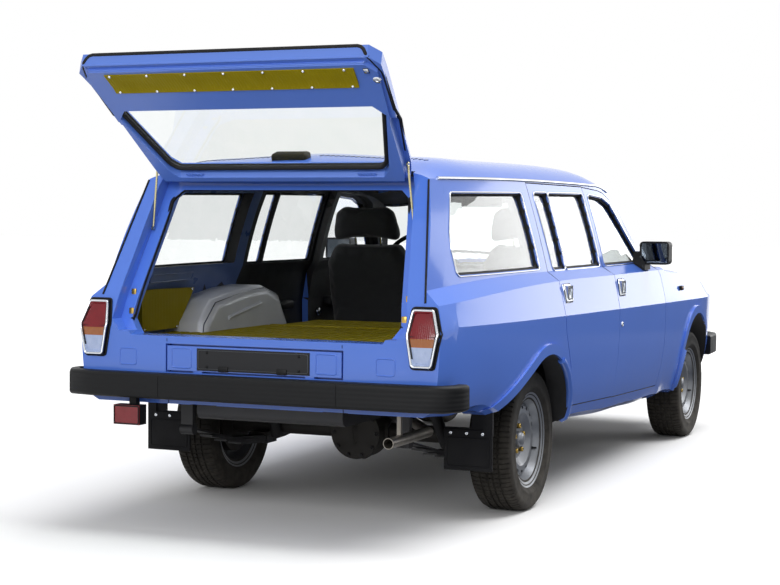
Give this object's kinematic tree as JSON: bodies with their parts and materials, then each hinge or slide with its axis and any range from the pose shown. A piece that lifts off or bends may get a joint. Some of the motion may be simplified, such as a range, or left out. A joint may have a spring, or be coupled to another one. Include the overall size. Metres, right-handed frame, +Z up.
{
  "type": "station wagon",
  "caption": "Five-door estate car with its tailgate raised: hinged doors, bonnet, gate and hatch, steered front wheels, free-turning wheels and a hollow cabin with a flat load floor.",
  "frame": {"origin": "on the ground under the middle of the car's overall box, with the tailgate open as stored", "axes": "+Y towards the rear, +X towards the car's left side, +Z up"},
  "size_m": [1.972, 5.0063, 1.9054],
  "materials": {
    "blue_paint": "gloss",
    "dark_blue_paint": "satin",
    "chrome": "polished",
    "black_plastic": "matt",
    "window_glass": "clear",
    "lamp_glass": "gloss",
    "headlamp_glass": "gloss",
    "olive_trim": "satin",
    "grey_panel": "satin",
    "black_fabric": "woven",
    "wheel_paint": "satin",
    "tyre_rubber": "matt",
    "soft_rubber": "matt",
    "cast_iron": "rough",
    "spring_steel": "dull",
    "stay_steel": "satin"
  },
  "bodies": {
    "body": {"body_side_left": "blue_paint", "body_side_right": "blue_paint", "exhaust": "spring_steel", "fixed_windows": "window_glass", "floor": "dark_blue_paint", "fog_lamp": "lamp_glass", "folded_bench": "olive_trim", "front_bumper": "black_plastic", "front_seats": "black_fabric", "front_suspension": "spring_steel", "front_wings": "blue_paint", "fuel_tank": "cast_iron", "grille": "chrome", "headlamps": "headlamp_glass", "instrument_panel": "black_plastic", "leaf_springs": "spring_steel", "load_floor": "olive_trim", "mud_flaps": "soft_rubber", "nose_panel": "blue_paint", "powertrain": "cast_iron", "rear_axle": "cast_iron", "rear_bumper": "black_plastic", "rear_dampers": "spring_steel", "rear_frame": "blue_paint", "rear_lamps": "lamp_glass", "roof": "blue_paint", "wheel_housings": "grey_panel"},
    "front_door_left": {"door_front_left": "blue_paint", "door_glass_front_left": "window_glass", "mirror_left": "black_plastic"},
    "rear_door_left": {"door_rear_left": "blue_paint", "door_glass_rear_left": "window_glass"},
    "gate_stay_left": {"stay_left": "stay_steel"},
    "hub_left": {"knuckle_left": "cast_iron"},
    "front_wheel_left": {"rim_front_left": "wheel_paint", "tyre_front_left": "tyre_rubber"},
    "rear_wheel_left": {"rim_rear_left": "wheel_paint", "tyre_rear_left": "tyre_rubber"},
    "front_door_right": {"door_front_right": "blue_paint", "door_glass_front_right": "window_glass", "mirror_right": "black_plastic"},
    "rear_door_right": {"door_rear_right": "blue_paint", "door_glass_rear_right": "window_glass"},
    "gate_stay_right": {"stay_right": "stay_steel"},
    "hub_right": {"knuckle_right": "cast_iron"},
    "front_wheel_right": {"rim_front_right": "wheel_paint", "tyre_front_right": "tyre_rubber"},
    "rear_wheel_right": {"rim_rear_right": "wheel_paint", "tyre_rear_right": "tyre_rubber"},
    "gate": {"tailgate": "blue_paint", "tailgate_glass": "window_glass"},
    "bonnet_lid": {"bonnet": "blue_paint"},
    "plate_hatch": {"spare_hatch": "blue_paint"},
    "steering": {"steering_wheel": "black_plastic"}
  },
  "joints": [
    {"name": "rear_wheel_left_spin", "type": "hinge", "parent": "body", "child": "rear_wheel_left", "pos_m": [0.713, 1.147, 0.308], "axis": [1, 0, 0], "continuous": true},
    {"name": "steer_left", "type": "hinge", "parent": "body", "child": "hub_left", "pos_m": [0.668, -1.653, 0.336], "axis": [0, 0, 1], "range_deg": [-32, 32]},
    {"name": "front_wheel_left_spin", "type": "hinge", "parent": "hub_left", "child": "front_wheel_left", "pos_m": [0.748, -1.653, 0.308], "axis": [1, 0, 0], "continuous": true},
    {"name": "front_door_left_hinge", "type": "hinge", "parent": "body", "child": "front_door_left", "pos_m": [0.8925, -0.8635, 0.71], "axis": [0, 0, -1], "range_deg": [0, 65]},
    {"name": "rear_door_left_hinge", "type": "hinge", "parent": "body", "child": "rear_door_left", "pos_m": [0.8935, 0.0635, 0.71], "axis": [0, 0, -1], "range_deg": [0, 65]},
    {"name": "rear_wheel_right_spin", "type": "hinge", "parent": "body", "child": "rear_wheel_right", "pos_m": [-0.713, 1.147, 0.308], "axis": [1, 0, 0], "continuous": true},
    {"name": "steer_right", "type": "hinge", "parent": "body", "child": "hub_right", "pos_m": [-0.668, -1.653, 0.336], "axis": [0, 0, 1], "range_deg": [-32, 32]},
    {"name": "front_wheel_right_spin", "type": "hinge", "parent": "hub_right", "child": "front_wheel_right", "pos_m": [-0.748, -1.653, 0.308], "axis": [1, 0, 0], "continuous": true},
    {"name": "front_door_right_hinge", "type": "hinge", "parent": "body", "child": "front_door_right", "pos_m": [-0.8925, -0.8635, 0.71], "axis": [0, 0, 1], "range_deg": [0, 65]},
    {"name": "rear_door_right_hinge", "type": "hinge", "parent": "body", "child": "rear_door_right", "pos_m": [-0.8935, 0.0635, 0.71], "axis": [0, 0, 1], "range_deg": [0, 65]},
    {"name": "tailgate_hinge", "type": "hinge", "parent": "body", "child": "gate", "pos_m": [0, 1.935, 1.462], "axis": [1, 0, 0], "range_deg": [-104.5, 0]},
    {"name": "stay_left_pivot", "type": "hinge", "parent": "gate", "child": "gate_stay_left", "pos_m": [0.568, 2.00217, 1.4848], "axis": [1, 0, 0], "range_deg": [0, 132]},
    {"name": "stay_right_pivot", "type": "hinge", "parent": "gate", "child": "gate_stay_right", "pos_m": [-0.568, 2.00217, 1.4848], "axis": [1, 0, 0], "range_deg": [0, 132]},
    {"name": "bonnet_hinge", "type": "hinge", "parent": "body", "child": "bonnet_lid", "pos_m": [0, -0.905, 1.043], "axis": [-1, 0, 0], "range_deg": [0, 60]},
    {"name": "plate_hatch_hinge", "type": "hinge", "parent": "body", "child": "plate_hatch", "pos_m": [0, 2.232, 0.652], "axis": [-1, 0, 0], "range_deg": [0, 75]},
    {"name": "steering_turn", "type": "hinge", "parent": "body", "child": "steering", "pos_m": [0.4, -0.453, 1.005], "axis": [0, 0.8944, 0.4472], "range_deg": [-550, 550]}
  ],
  "couplings": [
    {"joint": "steer_right", "follows": "steer_left", "ratio": 1},
    {"joint": "steering_turn", "follows": "steer_left", "ratio": 17},
    {"joint": "stay_left_pivot", "follows": "tailgate_hinge", "ratio": -1.26},
    {"joint": "stay_right_pivot", "follows": "tailgate_hinge", "ratio": -1.26}
  ]
}
